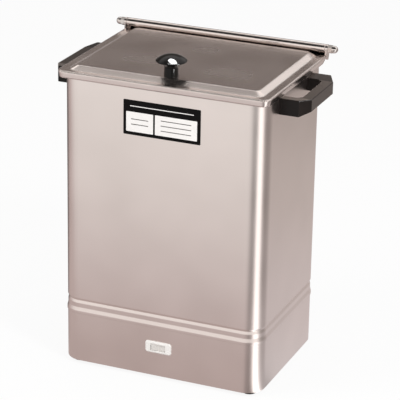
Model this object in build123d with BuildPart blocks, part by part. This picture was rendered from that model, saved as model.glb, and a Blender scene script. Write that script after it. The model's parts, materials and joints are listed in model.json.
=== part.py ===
"""Stainless steel hot pack heater: a tall double-walled water tank with a hinged lid on a base skirt.

Millimetres, +Z up. The origin is on the surface the heater stands on, under the middle of the body.
-Y is the front with the switch, +Y is the hinge side, and the carrying handles are at -X and +X.
"""

import os
from math import cos, radians, sin

from build123d import *

os.makedirs("parts", exist_ok=True)

# ---------------------------------------------------------------- driving dimensions
# Body: one sheet steel shell over a separate base skirt, standing on rubber feet
body_w = 283.0  # across the side walls
body_d = 212.0  # front wall to rear wall
body_r = 25.0  # plan radius of the four upright corners
sheet = 0.9  # stainless sheet of the shell, skirt, tank and lid
foot_h = 5.0  # how far the feet hold the skirt off the table
foot_d = 18.0
foot_inset = 19.0  # foot centre from the outside of the body
skirt_h = 72.5  # base skirt, lower edge to upper edge
skirt_flange_w = 32.0  # in-turned flange that carries the base plate and the feet
body_h = 403.9  # lower edge of the skirt to the top edge of the shell

# Shell: rolled bead and the flared edge that laps over the skirt
lap = 3.0  # how far the flared edge covers the skirt
lap_flat_h = 3.5  # upright part of the flare
flare_h = 5.0  # ramp from the flare up to the band
band_h = 6.0  # flat band between the flare and the bead
bead_rise_h = 4.0  # lower flank of the bead
bead_fall_h = 3.0  # upper flank of the bead
bead_deep = 1.5  # bead bottom behind the wall
band_deep = 0.4  # band behind the wall

# Inner tank
wall_gap = 8.1  # insulation between shell and tank
tank_floor = 102.8  # the tank's floor above the table, over the electrical parts
tank_floor_r = 10.0  # outside radius between floor and walls
rim_lip_h = 6.5  # turned-down lip over the shell edge

# Lid
lid_over_x = 4.5  # lid past the side walls
lid_over_y = 5.2  # lid past the front wall
lid_r = 11.0  # front corners
lid_gap = 0.3  # lid flange above the tank rim
lid_skirt_h = 9.5  # turned-down edge of the lid
lid_skirt_lean = 1.6  # how far the edge draws in on its way down
lid_edge_r = 2.0
panel_margin_x = 11.0  # flat flange outside the raised panel
panel_margin_y = 9.7
panel_foot_r = 10.0
panel_slope_x = 9.5  # width of the panel's sloping sides in plan
panel_slope_y = 8.0
panel_r = 6.0
panel_rise = 4.9
lid_skirt_end = 13.2  # the side skirts stop this far in front of the lid's rear edge
lid_skirt_end_r = 8.0

# Hinge
barrel_r = 5.8  # outside of the curl at the lid's rear edge
barrel_end_gap = 2.5  # the curl ends this far inside the lid's sides
barrel_lift = 3.1  # straight riser between the bend and the curl
curl_end = 250.0  # degrees round the rod where the curl's lip stops
rod_fit = 0.06  # radial running clearance of the rod in the curl
rod_end_r = 3.0  # threaded ends of the rod
ear_side_gap = 0.5
ear_t = 2.0
ear_strip_h = 16.0  # strip on the tank's rim lip that carries the two ears
ear_strip_gap = 1.1  # strip below the lid's flange
ear_strip_end = 22.0  # the strip's narrow ends
ear_strip_slope = 9.0  # where they widen
ear_foot_h = 5.5  # height of the narrow ends
washer_t = 1.0
washer_inset = 0.3  # washer edge inside the ear's rounded top
nut_hex_w = 10.0  # across flats
nut_hex_h = 5.5
nut_dome_r = 5.0
nut_skirt_h = 2.5  # round neck between hexagon and dome
nut_corner_h = 0.5  # the hexagon's outer corners are turned off by this much
nut_corner_in = 0.9

# Lid knob
knob_x = 3.5
knob_in = 28.2  # knob's axis from the lid's front edge
knob_cap_d = 40.2
knob_stem_d = 18.6
knob_rim_h = 20.6  # rim of the cap above the panel
knob_h = 28.8
knob_rim_t = 2.4
knob_rim_in = 0.8  # rounding of the rim's edge
knob_neck_in = 0.5  # the stem draws in to its neck by this much
knob_under_h = 4.2  # cap's underside, neck corner to rim
knob_neck_fillet = 6.0
knob_screw_r = 2.5
knob_screw_in = 14.0  # thread inside the knob

# Handles
handle_span = 120.0  # front of one arm to the back of the other
handle_reach = 36.0  # wall to the outer face of the grip
handle_arm_w = 19.0
handle_arm_h = 21.5
handle_grip_t = 14.5
handle_grip_h = 16.8
handle_chamfer_out = 10.0
handle_chamfer_along = 20.0
handle_inner_chamfer = 6.0
handle_top_drop = 9.9  # arm top below the top edge of the shell
handle_edge_r = 1.2
handle_screw_r = 2.5
handle_screw_in = 14.0
screw_head_ratio = 1.9  # screw head radius over shank radius
screw_head_h = 2.4
screw_end_gap = 1.0  # screw tip short of its hole's end

# Switch in the front of the skirt
switch_z = 47.0
bezel_w = 37.0
bezel_h = 16.4
bezel_r = 3.6
bezel_t = 2.0
bezel_bevel_in = 1.6
bezel_bevel_deep = 1.2
rocker_w = 21.0
rocker_h = 9.5
rocker_gap = 0.35
rocker_throw = 12.0  # degrees from off to on
rocker_out = 1.8  # raised ends of the rocker's face, in front of the skirt
rocker_valley_out = 0.4  # the face's valley over the axis
rocker_side_draw = 0.6  # ends draw in towards the back
rocker_shoulder = 1.2  # where they turn in, behind the axis
rocker_back = 4.5  # back of the rocker, behind the axis
rocker_back_half = 4.4
rocker_pin_r = 1.2
rocker_pin_in = 1.6
rocker_axis_in = 2.0  # rocker axis behind the front of the skirt
switch_body_w = 27.0
switch_body_h = 13.0
switch_body_length = 20.0
switch_wall = 1.6
blade_w = 4.8
blade_t = 0.8
blade_length = 8.0
blade_pitch = 8.0

# Base plate and the parts on it
plate_t = 1.2
plate_gap = 0.3
base_screw_r = 2.0
screw_through = 2.0  # screw tips past the sheet they bite in
slot_length = 28.0  # cooling slots in the base plate
slot_w = 4.0
slot_pitch = 10.0
slot_count = 5
thermostat_in_x = 81.5  # thermostat's axis from the right wall
thermostat_w = 46.0
thermostat_d = 36.0
thermostat_h = 24.0
spindle_r = 3.0
spindle_fit = 0.06
spindle_collar_r = 5.5
spindle_collar_h = 3.0
spindle_neck = 3.0  # plate to the collar
spindle_play = 0.3  # collar's play along the spindle
spindle_tip_z = 2.0
spindle_slot_w = 1.0
spindle_slot_h = 1.6
terminal_in_x = 71.5  # terminal block's centre from the left wall
terminal_y = -35.0
terminal_w = 42.0
terminal_d = 22.0
terminal_h = 16.0
terminal_pitch = 12.0
terminal_screw_r = 2.0
trough_w = 7.2  # wire troughs in the terminal block
trough_length = 5.5
trough_h = 7.2
lead_r = 1.1  # insulated leads between the electrical parts
lead_bend = 6.6
lead_drop = 9.0  # leads hang this far below the tabs they join
lead_rise = 4.0  # upper lead above the capillary's run
lead_front = 12.0  # cross run of the first switch lead, behind the blades
lead_back = 18.0  # cross run of the second
lead_side = 10.0  # leads beside the thermostat's axis
lead_loop = 26.0  # longest lead's detour round the terminal block
lead_out_short = 15.0  # earth lead's turn in front of its trough
lead_out_long = 17.0  # the longest lead's turn there

# Water side: tubular heating element, sensing bulb and their fittings
element_r = 4.0
element_pitch = 35.0  # between neighbouring runs
element_turn_gap = 20.1  # between the turns and the tank's right wall
element_back_in = 26.0  # centre of the left turn from the legs
element_leg_in = 33.6  # legs from the tank's left wall
element_leg_r = 11.0  # bend down into the floor
element_up = 16.0  # tube centre above the tank floor
element_tail = 14.0  # tube end below the tank floor
element_pin_r = 1.5
element_pin_length = 6.0
fitting_r = 9.0
fitting_flange_h = 3.0
fitting_thread_r = 6.5
fitting_thread_length = 12.0
fitting_nut_h = 6.0
gasket_t = 1.5
bulb_r = 4.75
bulb_length = 90.0
bulb_start_x = -34.0
strap_in = 18.0  # straps from the bulb's ends
strap_w = 6.0
strap_t = 1.0
gland_x = -58.0
gland_r = 6.5
gland_hex = 8.5  # half across flats
gland_head_h = 2.0
gland_nut_h = 4.0
capillary_r = 1.2
capillary_bend = 9.0
capillary_run_z = 62.0
cutout_x = 20.0
cutout_r = 9.0
cutout_h = 10.0

# Cord inlet at the rear of the skirt
inlet_in_x = 51.5  # cord inlet's axis from the left wall
inlet_z = 40.0
inlet_hole_r = 8.0
inlet_bore_r = 4.0
inlet_flange_r = 11.0
inlet_out = 4.5
inlet_in = 3.0

# Pack rack
wire_r = 2.0
thin_wire_r = 1.5
rack_wall_gap = 12.1  # legs' axes from the tank's walls, clear of the rounded floor edge
loop_count = 5
loop_corner_r = 18.0
loop_top_drop = 24.0  # loop tops below the rim
rack_gap = 0.2
rack_floor_up = 24.0  # floor wires above the tank floor
floor_count = 7
tie_shares = (0.18, 0.53, 0.87)  # heights of the ties as shares of the rack's height

# ---------------------------------------------------------------- places worked out from the above
skirt_z = foot_h
skirt_top = skirt_z + skirt_h
shell_z = skirt_top - lap
shell_top = skirt_z + body_h
rim_top = shell_top + sheet
lid_under = rim_top + lid_gap
lid_top = lid_under + sheet
panel_top = lid_top + panel_rise
panel_under = panel_top - sheet
wall_x = body_w / 2
wall_y = body_d / 2
lid_w = body_w + 2 * lid_over_x
lid_d = body_d + 2 * lid_over_y
panel_foot_w = lid_w - 2 * panel_margin_x
panel_foot_d = lid_d - 2 * panel_margin_y
panel_w = panel_foot_w - 2 * panel_slope_x
panel_d = panel_foot_d - 2 * panel_slope_y
barrel_half = lid_w / 2 - barrel_end_gap
knob_y = knob_in - lid_d / 2
tank_w = body_w - 2 * (sheet + wall_gap)
tank_d = body_d - 2 * (sheet + wall_gap)
tank_r = body_r - sheet - wall_gap
tank_in_x = tank_w / 2 - sheet
tank_in_y = tank_d / 2 - sheet
tank_under = tank_floor - sheet
hinge_y = lid_d / 2 - barrel_r
hinge_z = lid_under + barrel_r + barrel_lift
rod_r = barrel_r - sheet - rod_fit
ear_x = barrel_half + ear_side_gap
nut_x = ear_x + ear_t + washer_t
handle_z = shell_top - handle_top_drop - handle_arm_h / 2
handle_screw_y = handle_span / 2 - handle_arm_w / 2
plate_z = skirt_z + sheet
plate_top = plate_z + plate_t
element_turn_x = tank_in_x - element_turn_gap - element_pitch / 2 - element_r
element_leg_x = element_leg_in - tank_in_x
element_back_x = element_leg_x + element_back_in
loop_half_w = tank_in_x - rack_wall_gap
loop_half_d = tank_in_y - rack_wall_gap
thermostat_x = wall_x - thermostat_in_x
terminal_x = terminal_in_x - wall_x
inlet_x = inlet_in_x - wall_x
element_z = tank_floor + element_up
element_top = element_z + element_r
bulb_z = element_top - bulb_r
loop_top = rim_top - loop_top_drop
front_y = -wall_y
sides = (-1, 1)


def finish(piece, name):
    """Labels a finished piece and writes its file."""
    piece.part.label = name
    export_step(piece.part, f"parts/{name}.step")


def body_outline(grow=0.0, mode=Mode.ADD):
    """The body's plan outline, grown outwards by a distance."""
    return RectangleRounded(body_w + 2 * grow, body_d + 2 * grow, body_r + grow, mode=mode)


def round_head_screw(radius, length):
    """A screw with its head above Z 0 and its shank below."""
    with BuildPart() as blank:
        with BuildSketch(Plane.XY):
            Circle(radius * screw_head_ratio)
        extrude(amount=screw_head_h)
        chamfer(blank.faces().sort_by(Axis.Z)[-1].edges(), screw_head_h * 0.4)
        with BuildSketch(Plane.XY):
            Circle(radius)
        extrude(amount=-length)
    return blank.part


# ---------------------------------------------------------------- outer shell
# Outline of the wall's outer face: offset from the wall plane and height, from the top down
band_z = shell_z + lap_flat_h + flare_h
bead_z = band_z + band_h
shell_face = [
    (0.0, shell_top),
    (0.0, bead_z + bead_rise_h + bead_fall_h),
    (-bead_deep, bead_z + bead_rise_h),
    (-band_deep, bead_z),
    (-band_deep, band_z),
    (sheet, shell_z + lap_flat_h),
    (sheet, shell_z),
]
shell_back = [(out - sheet, z) for out, z in reversed(shell_face)]

with BuildSketch(Plane.XY) as shell_plan:
    body_outline()
shell_path = shell_plan.sketch.faces()[0].outer_wire()
start = shell_path @ 0
outward = (shell_path % 0).cross(Vector(0, 0, 1))
if outward.dot(Vector(start.X, start.Y, 0)) < 0:
    outward = -outward
upright = Plane(origin=start, x_dir=outward, z_dir=outward.cross(Vector(0, 0, 1)))

with BuildPart() as outer_shell:
    with BuildSketch(upright):
        with BuildLine():
            Polyline(*shell_face, *shell_back, close=True)
        make_face()
    sweep(path=shell_path)
    # Screw holes for the handles
    for side in sides:
        with BuildSketch(Plane.YZ.offset(side * wall_x)):
            with Locations((-handle_screw_y, handle_z), (handle_screw_y, handle_z)):
                Circle(handle_screw_r)
        extrude(amount=sheet * 1.5, both=True, mode=Mode.SUBTRACT)
finish(outer_shell, "outer_shell")

# ---------------------------------------------------------------- base skirt
switch_hole_fit = 0.1
with BuildPart() as base_skirt:
    with BuildSketch(Plane.XY.offset(skirt_z)):
        body_outline()
    extrude(amount=skirt_h)
    fillet(faces().sort_by(Axis.Z)[0].edges(), sheet * 1.6)
    with BuildSketch(Plane.XY.offset(plate_z)):
        body_outline(-sheet)
    extrude(amount=skirt_h, mode=Mode.SUBTRACT)
    with BuildSketch(Plane.XY.offset(skirt_z)):
        RectangleRounded(body_w - 2 * skirt_flange_w, body_d - 2 * skirt_flange_w, body_r / 2)
    extrude(amount=sheet, mode=Mode.SUBTRACT)
    # Cut-out for the switch, hole for the cord inlet
    with BuildSketch(Plane.XZ.offset(wall_y - 1.5 * sheet)):
        with Locations((0, switch_z)):
            Rectangle(switch_body_w + 2 * switch_hole_fit, switch_body_h + 2 * switch_hole_fit)
    extrude(amount=2 * sheet, mode=Mode.SUBTRACT)
    with BuildSketch(Plane.XZ.offset(-(wall_y - 1.5 * sheet))):
        with Locations((inlet_x, inlet_z)):
            Circle(inlet_hole_r)
    extrude(amount=-2 * sheet, mode=Mode.SUBTRACT)
    # Holes for the foot screws and the base plate screws
    with BuildSketch(Plane.XY.offset(skirt_z)):
        with GridLocations(body_w - 2 * foot_inset, body_d - 2 * foot_inset, 2, 2):
            Circle(base_screw_r)
        with GridLocations(body_w - skirt_flange_w * 4, body_d - skirt_flange_w, 2, 2):
            Circle(base_screw_r)
    extrude(amount=sheet, mode=Mode.SUBTRACT)
finish(base_skirt, "base_skirt")

# ---------------------------------------------------------------- inner tank
fitting_spots = [(element_leg_x, -1.5 * element_pitch), (element_leg_x, 1.5 * element_pitch)]
with BuildPart() as inner_tank:
    with BuildSketch(Plane.XY.offset(tank_under)):
        RectangleRounded(tank_w, tank_d, tank_r)
    extrude(amount=rim_top - tank_under)
    fillet(faces().sort_by(Axis.Z)[0].edges(), tank_floor_r)
    offset(amount=-sheet, openings=faces().sort_by(Axis.Z)[-1])
    # Rim: out over the top edge of the shell and down outside it
    with BuildSketch(Plane.XY.offset(rim_top)):
        body_outline(sheet)
        RectangleRounded(tank_w - sheet, tank_d - sheet, tank_r, mode=Mode.SUBTRACT)
    extrude(amount=-sheet)
    with BuildSketch(Plane.XY.offset(rim_top)):
        body_outline(sheet)
        body_outline(mode=Mode.SUBTRACT)
    extrude(amount=-rim_lip_h)
    fillet(faces().sort_by(Axis.Z)[-1].outer_wire().edges(), sheet * 0.7)
    # Holes in the floor for the element's two legs and the capillary's gland
    with BuildSketch(Plane.XY.offset(tank_under)):
        with Locations(*fitting_spots):
            Circle(fitting_thread_r)
        with Locations((gland_x, 0)):
            Circle(gland_r)
    extrude(amount=sheet, mode=Mode.SUBTRACT)
finish(inner_tank, "inner_tank")

# ---------------------------------------------------------------- insulation round the tank
pocket_gap = 0.6
wrap_end_gap = 2.0
wrap_low = bead_z + bead_rise_h + bead_fall_h + wrap_end_gap
with BuildPart() as insulation_wrap:
    with BuildSketch(Plane.XY.offset(wrap_low)):
        body_outline(-sheet)
        RectangleRounded(tank_w, tank_d, tank_r, mode=Mode.SUBTRACT)
    extrude(amount=shell_top - wrap_end_gap - wrap_low)
    # Pockets for the heads of the handle screws
    for side in sides:
        with BuildSketch(Plane.YZ.offset(side * (wall_x - sheet))):
            with Locations((-handle_screw_y, handle_z), (handle_screw_y, handle_z)):
                Circle(handle_screw_r * screw_head_ratio + pocket_gap)
        extrude(amount=-side * (screw_head_h + pocket_gap), mode=Mode.SUBTRACT)
finish(insulation_wrap, "insulation_wrap")

# ---------------------------------------------------------------- lid
with BuildPart() as lid:
    # Flange and turned-down edge: upright at first, then drawing in towards its lower edge
    edge_low = lid_top - lid_edge_r
    with BuildSketch(Plane.XY.offset(lid_top)):
        RectangleRounded(lid_w, lid_d, lid_r)
    extrude(amount=-lid_edge_r)
    fillet(faces().sort_by(Axis.Z)[-1].edges(), lid_edge_r * 0.95)
    with BuildSketch(Plane.XY.offset(edge_low)):
        RectangleRounded(lid_w, lid_d, lid_r)
    with BuildSketch(Plane.XY.offset(lid_top - lid_skirt_h)):
        RectangleRounded(lid_w - 2 * lid_skirt_lean, lid_d - 2 * lid_skirt_lean, lid_r - lid_skirt_lean)
    loft(ruled=True)
    # Raised panel with sloping sides
    with BuildSketch(Plane.XY.offset(lid_top)):
        RectangleRounded(panel_foot_w, panel_foot_d, panel_foot_r)
    with BuildSketch(Plane.XY.offset(panel_top)):
        RectangleRounded(panel_w, panel_d, panel_r)
    loft(ruled=True)
    # The same two forms a sheet's thickness lower hollow it out
    lid_in_w = lid_w - 2 * sheet
    lid_in_d = lid_d - 2 * sheet
    with BuildSketch(Plane.XY.offset(lid_under)):
        RectangleRounded(lid_in_w, lid_in_d, lid_r - sheet)
    extrude(amount=edge_low - lid_under, mode=Mode.SUBTRACT)
    with BuildSketch(Plane.XY.offset(edge_low)):
        RectangleRounded(lid_in_w, lid_in_d, lid_r - sheet)
    with BuildSketch(Plane.XY.offset(lid_top - lid_skirt_h)):
        RectangleRounded(
            lid_in_w - 2 * lid_skirt_lean, lid_in_d - 2 * lid_skirt_lean, lid_r - sheet - lid_skirt_lean
        )
    loft(ruled=True, mode=Mode.SUBTRACT)
    with BuildSketch(Plane.XY.offset(lid_under)):
        RectangleRounded(panel_foot_w, panel_foot_d, panel_foot_r)
    with BuildSketch(Plane.XY.offset(panel_under)):
        RectangleRounded(panel_w, panel_d, panel_r)
    loft(ruled=True, mode=Mode.SUBTRACT)
    # The side skirts stop short of the hinge with rounded corners, and none runs along the rear
    skirt_end_y = lid_d / 2 - lid_skirt_end
    skirt_low = lid_top - lid_skirt_h
    with BuildSketch(Plane.YZ.offset(-lid_w)):
        with BuildLine():
            corner_y = skirt_end_y - lid_skirt_end_r
            Line((skirt_end_y, lid_under), (skirt_end_y, skirt_low + lid_skirt_end_r))
            RadiusArc((skirt_end_y, skirt_low + lid_skirt_end_r), (corner_y, skirt_low), lid_skirt_end_r)
            Polyline(
                (corner_y, skirt_low),
                (corner_y, skirt_low - 1),
                (lid_d, skirt_low - 1),
                (lid_d, lid_under),
                (skirt_end_y, lid_under),
            )
        make_face()
    extrude(amount=2 * lid_w, mode=Mode.SUBTRACT)
    # Rear corners notched for the hinge ears, and the rear edge trimmed to where it bends up
    for side in sides:
        with BuildSketch(Plane.XY.offset(lid_under)):
            with Locations((side * (barrel_half + lid_w / 2), skirt_end_y + lid_d / 2)):
                Rectangle(lid_w, lid_d)
        extrude(amount=sheet, mode=Mode.SUBTRACT)
    with BuildSketch(Plane.XY.offset(lid_under)):
        with Locations((0, hinge_y + lid_d / 2)):
            Rectangle(2 * lid_w, lid_d)
    extrude(amount=sheet, mode=Mode.SUBTRACT)
    # Curl: the sheet bends up behind the rod, over it and round its front
    bend_z = lid_under + barrel_r
    in_r = barrel_r - sheet
    lip = radians(curl_end)
    lip_out = (hinge_y + barrel_r * cos(lip), hinge_z + barrel_r * sin(lip))
    lip_in = (hinge_y + in_r * cos(lip), hinge_z + in_r * sin(lip))
    with BuildSketch(Plane.YZ.offset(-barrel_half)):
        with BuildLine():
            CenterArc((hinge_y, bend_z), barrel_r, -90, 90)
            Line((hinge_y + barrel_r, bend_z), (hinge_y + barrel_r, hinge_z))
            CenterArc((hinge_y, hinge_z), barrel_r, 0, curl_end)
            Line(lip_out, lip_in)
            CenterArc((hinge_y, hinge_z), in_r, curl_end, -curl_end)
            Line((hinge_y + in_r, hinge_z), (hinge_y + in_r, bend_z))
            CenterArc((hinge_y, bend_z), in_r, 0, -90)
            Line((hinge_y, lid_top), (hinge_y, lid_under))
        make_face()
    extrude(amount=2 * barrel_half)
    # Hole for the knob's screw
    with BuildSketch(Plane.XY.offset(panel_under)):
        with Locations((knob_x, knob_y)):
            Circle(knob_screw_r)
    extrude(amount=sheet, mode=Mode.SUBTRACT)
finish(lid, "lid")

# ---------------------------------------------------------------- hinge
ear_top_r = barrel_r
strip_half = ear_x + ear_t
strip_y = wall_y + sheet
strip_top = lid_under - ear_strip_gap
strip_low = strip_top - ear_strip_h
foot_low = strip_top - ear_foot_h
with BuildPart() as hinge_bracket:
    with BuildSketch(Plane.XZ.offset(-strip_y)):
        with BuildLine():
            Polyline(
                (-strip_half, strip_top),
                (-strip_half, foot_low),
                (-strip_half + ear_strip_end, foot_low),
                (-strip_half + ear_strip_end + ear_strip_slope, strip_low),
                (strip_half - ear_strip_end - ear_strip_slope, strip_low),
                (strip_half - ear_strip_end, foot_low),
                (strip_half, foot_low),
                (strip_half, strip_top),
                close=True,
            )
        make_face()
    extrude(amount=-ear_t)
    for side in sides:
        with BuildSketch(Plane.YZ.offset(side * (ear_x + ear_t / 2))):
            with BuildLine():
                Polyline(
                    (hinge_y - ear_top_r, hinge_z),
                    (hinge_y - ear_top_r, strip_top),
                    (strip_y, foot_low),
                    (strip_y + ear_t, foot_low),
                    (hinge_y + ear_top_r, strip_top),
                    (hinge_y + ear_top_r, hinge_z),
                )
                CenterArc((hinge_y, hinge_z), ear_top_r, 0, 180)
            make_face()
            with Locations((hinge_y, hinge_z)):
                Circle(rod_end_r, mode=Mode.SUBTRACT)
        extrude(amount=ear_t / 2, both=True)
finish(hinge_bracket, "hinge_bracket")

rod_plane = Plane(origin=(0, hinge_y, hinge_z), x_dir=(0, 1, 0), z_dir=(1, 0, 0))
with BuildPart() as hinge_rod:
    with BuildSketch(rod_plane):
        Circle(rod_r)
    extrude(amount=ear_x, both=True)
    with BuildSketch(rod_plane):
        Circle(rod_end_r)
    extrude(amount=nut_x + nut_hex_h, both=True)
finish(hinge_rod, "hinge_rod")

with BuildPart() as hinge_washers:
    for side in sides:
        with BuildSketch(rod_plane.offset(side * (ear_x + ear_t + washer_t / 2))):
            Circle(ear_top_r - washer_inset)
            Circle(rod_end_r, mode=Mode.SUBTRACT)
        extrude(amount=washer_t / 2, both=True)
finish(hinge_washers, "hinge_washers")


def acorn_nut():
    """A domed nut standing on Z 0 with its blind hole opening downwards."""
    dome_z = nut_hex_h + nut_skirt_h
    corner_r = nut_hex_w / 3**0.5
    with BuildPart() as nut:
        with BuildSketch(Plane.XY):
            RegularPolygon(nut_hex_w / 2, 6, major_radius=False)
        extrude(amount=nut_hex_h)
        # Its outer corners are turned off
        with BuildSketch(Plane.XZ):
            with BuildLine():
                Polyline(
                    (0, 0),
                    (corner_r, 0),
                    (corner_r, nut_hex_h - nut_corner_h),
                    (corner_r - nut_corner_in, nut_hex_h),
                    (0, nut_hex_h),
                    close=True,
                )
            make_face()
        revolve(axis=Axis.Z, mode=Mode.INTERSECT)
        with BuildSketch(Plane.XY.offset(nut_hex_h)):
            Circle(nut_dome_r)
        extrude(amount=nut_skirt_h)
        with BuildSketch(Plane.XZ):
            with BuildLine():
                Polyline((0, dome_z + nut_dome_r), (0, dome_z), (nut_dome_r, dome_z))
                RadiusArc((nut_dome_r, dome_z), (0, dome_z + nut_dome_r), -nut_dome_r)
            make_face()
        revolve(axis=Axis.Z)
        with BuildSketch(Plane.XY):
            Circle(rod_end_r)
        extrude(amount=nut_hex_h, mode=Mode.SUBTRACT)
    return nut.part


nut_blank = acorn_nut()
with BuildPart() as acorn_nuts:
    for side in sides:
        seat = Plane(origin=(side * nut_x, hinge_y, hinge_z), x_dir=(0, 0, 1), z_dir=(side, 0, 0))
        add(seat.location * nut_blank)
finish(acorn_nuts, "acorn_nuts")

# ---------------------------------------------------------------- lid knob and its screw
stem_r = knob_stem_d / 2
cap_r = knob_cap_d / 2
knob_plane = Plane(origin=(knob_x, knob_y, panel_top), x_dir=(1, 0, 0), z_dir=(0, -1, 0))
neck_r = stem_r - knob_neck_in
rim_low = knob_rim_h - knob_rim_t / 2
rim_high = knob_rim_h + knob_rim_t / 2
dome_h = knob_h - rim_high
dome_half = cap_r - knob_rim_in
with BuildPart() as lid_knob:
    with BuildSketch(knob_plane):
        with BuildLine():
            # Stem, drawn in a little towards its neck, then a wide fillet out under the cap
            FilletPolyline(
                (stem_r, 0),
                (neck_r, rim_low - knob_under_h),
                (dome_half, rim_low),
                radius=knob_neck_fillet,
            )
            ThreePointArc((dome_half, rim_low), (cap_r, knob_rim_h), (dome_half, rim_high))
            RadiusArc((dome_half, rim_high), (0, knob_h), -(dome_half**2 + dome_h**2) / (2 * dome_h))
            Polyline((0, knob_h), (0, 0), (stem_r, 0))
        make_face()
    revolve(axis=Axis((knob_x, knob_y, 0), (0, 0, 1)))
    with BuildSketch(Plane.XY.offset(panel_top)):
        with Locations((knob_x, knob_y)):
            Circle(knob_screw_r)
    extrude(amount=knob_screw_in, mode=Mode.SUBTRACT)
finish(lid_knob, "lid_knob")

with BuildPart() as knob_washer:
    with BuildSketch(Plane.XY.offset(panel_under)):
        with Locations((knob_x, knob_y)):
            Circle(stem_r * 0.8)
            Circle(knob_screw_r, mode=Mode.SUBTRACT)
    extrude(amount=-washer_t)
finish(knob_washer, "knob_washer")

knob_screw_blank = round_head_screw(knob_screw_r, washer_t + sheet + knob_screw_in - screw_end_gap)
seat = (knob_x, knob_y, panel_under - washer_t)
with BuildPart() as knob_screw:
    add(Plane(origin=seat, x_dir=(1, 0, 0), z_dir=(0, 0, -1)).location * knob_screw_blank)
finish(knob_screw, "knob_screw")

# ---------------------------------------------------------------- carrying handles
half_span = handle_span / 2
grip_out = wall_x + handle_reach
grip_in = grip_out - handle_grip_t
arm_in = half_span - handle_arm_w
for side, name in ((-1, "handle_left"), (1, "handle_right")):
    with BuildPart() as handle:
        with BuildSketch(Plane.XY.offset(handle_z)):
            with BuildLine():
                Polyline(
                    (side * wall_x, -half_span),
                    (side * (grip_out - handle_chamfer_out), -half_span),
                    (side * grip_out, -half_span + handle_chamfer_along),
                    (side * grip_out, half_span - handle_chamfer_along),
                    (side * (grip_out - handle_chamfer_out), half_span),
                    (side * wall_x, half_span),
                    (side * wall_x, arm_in),
                    (side * (grip_in - handle_inner_chamfer), arm_in),
                    (side * grip_in, arm_in - handle_inner_chamfer),
                    (side * grip_in, -arm_in + handle_inner_chamfer),
                    (side * (grip_in - handle_inner_chamfer), -arm_in),
                    (side * wall_x, -arm_in),
                    close=True,
                )
            make_face()
        extrude(amount=handle_arm_h / 2, both=True)
        # Side view: tall arms, and a slimmer grip between the corners
        with BuildSketch(Plane.YZ):
            with BuildLine():
                flat = half_span - handle_chamfer_along
                arm_end = half_span - 3.0
                upper = [
                    (-half_span, handle_arm_h / 2),
                    (-arm_end, handle_arm_h / 2),
                    (-flat, handle_grip_h / 2),
                    (flat, handle_grip_h / 2),
                    (arm_end, handle_arm_h / 2),
                    (half_span, handle_arm_h / 2),
                ]
                outline = [(y, handle_z + z) for y, z in upper]
                outline += [(y, handle_z - z) for y, z in reversed(upper)]
                Polyline(*outline, close=True)
            make_face()
        extrude(amount=side * 2 * wall_x, mode=Mode.INTERSECT)
        fillet(handle.part.edges().filter_by(lambda e: abs(e.center().X) > wall_x + 1), handle_edge_r)
        with BuildSketch(Plane.YZ.offset(side * wall_x)):
            with Locations((-handle_screw_y, handle_z), (handle_screw_y, handle_z)):
                Circle(handle_screw_r)
        extrude(amount=side * handle_screw_in, mode=Mode.SUBTRACT)
    finish(handle, name)

handle_screw_blank = round_head_screw(handle_screw_r, sheet + handle_screw_in - screw_end_gap)
with BuildPart() as handle_screws:
    for side in sides:
        for end in sides:
            seat = (side * (wall_x - sheet), end * handle_screw_y, handle_z)
            add(Plane(origin=seat, x_dir=(0, 1, 0), z_dir=(-side, 0, 0)).location * handle_screw_blank)
finish(handle_screws, "handle_screws")

# ---------------------------------------------------------------- switch in the front of the skirt
front_plane = Plane(origin=(0, front_y, switch_z), x_dir=(1, 0, 0), z_dir=(0, -1, 0))
axis_y = front_y + rocker_axis_in
# One moulding: the bezel outside the skirt and the hollow body behind it
with BuildPart() as switch_housing:
    with BuildSketch(front_plane):
        RectangleRounded(bezel_w, bezel_h, bezel_r)
    extrude(amount=bezel_t)
    chamfer(faces().sort_by(Axis.Y)[0].edges(), bezel_bevel_deep, bezel_bevel_in)
    with BuildSketch(front_plane):
        Rectangle(switch_body_w, switch_body_h)
    extrude(amount=-switch_body_length)
    with BuildSketch(front_plane):
        Rectangle(rocker_w, rocker_h)
    extrude(amount=bezel_t, mode=Mode.SUBTRACT)
    with BuildSketch(front_plane):
        Rectangle(switch_body_w - 2 * switch_wall, rocker_h)
    extrude(amount=-(switch_body_length - switch_wall), mode=Mode.SUBTRACT)
    # Two holes for the pins the rocker turns on
    with BuildSketch(Plane.XY.offset(switch_z)):
        with Locations((0, axis_y)):
            Circle(rocker_pin_r + spindle_fit)
    extrude(amount=switch_body_h / 2, both=True, mode=Mode.SUBTRACT)
    # Slots for the three blades in the rear wall
    with BuildSketch(front_plane.offset(-switch_body_length)):
        with GridLocations(blade_pitch, 0, 3, 1):
            Rectangle(blade_t, blade_w)
    extrude(amount=switch_wall, mode=Mode.SUBTRACT)
finish(switch_housing, "switch_housing")

with BuildPart() as switch_blades:
    with BuildSketch(front_plane.offset(-switch_body_length + switch_wall)):
        with GridLocations(blade_pitch, 0, 3, 1):
            Rectangle(blade_t, blade_w)
    extrude(amount=-(switch_wall + blade_length))
finish(switch_blades, "switch_blades")

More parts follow.
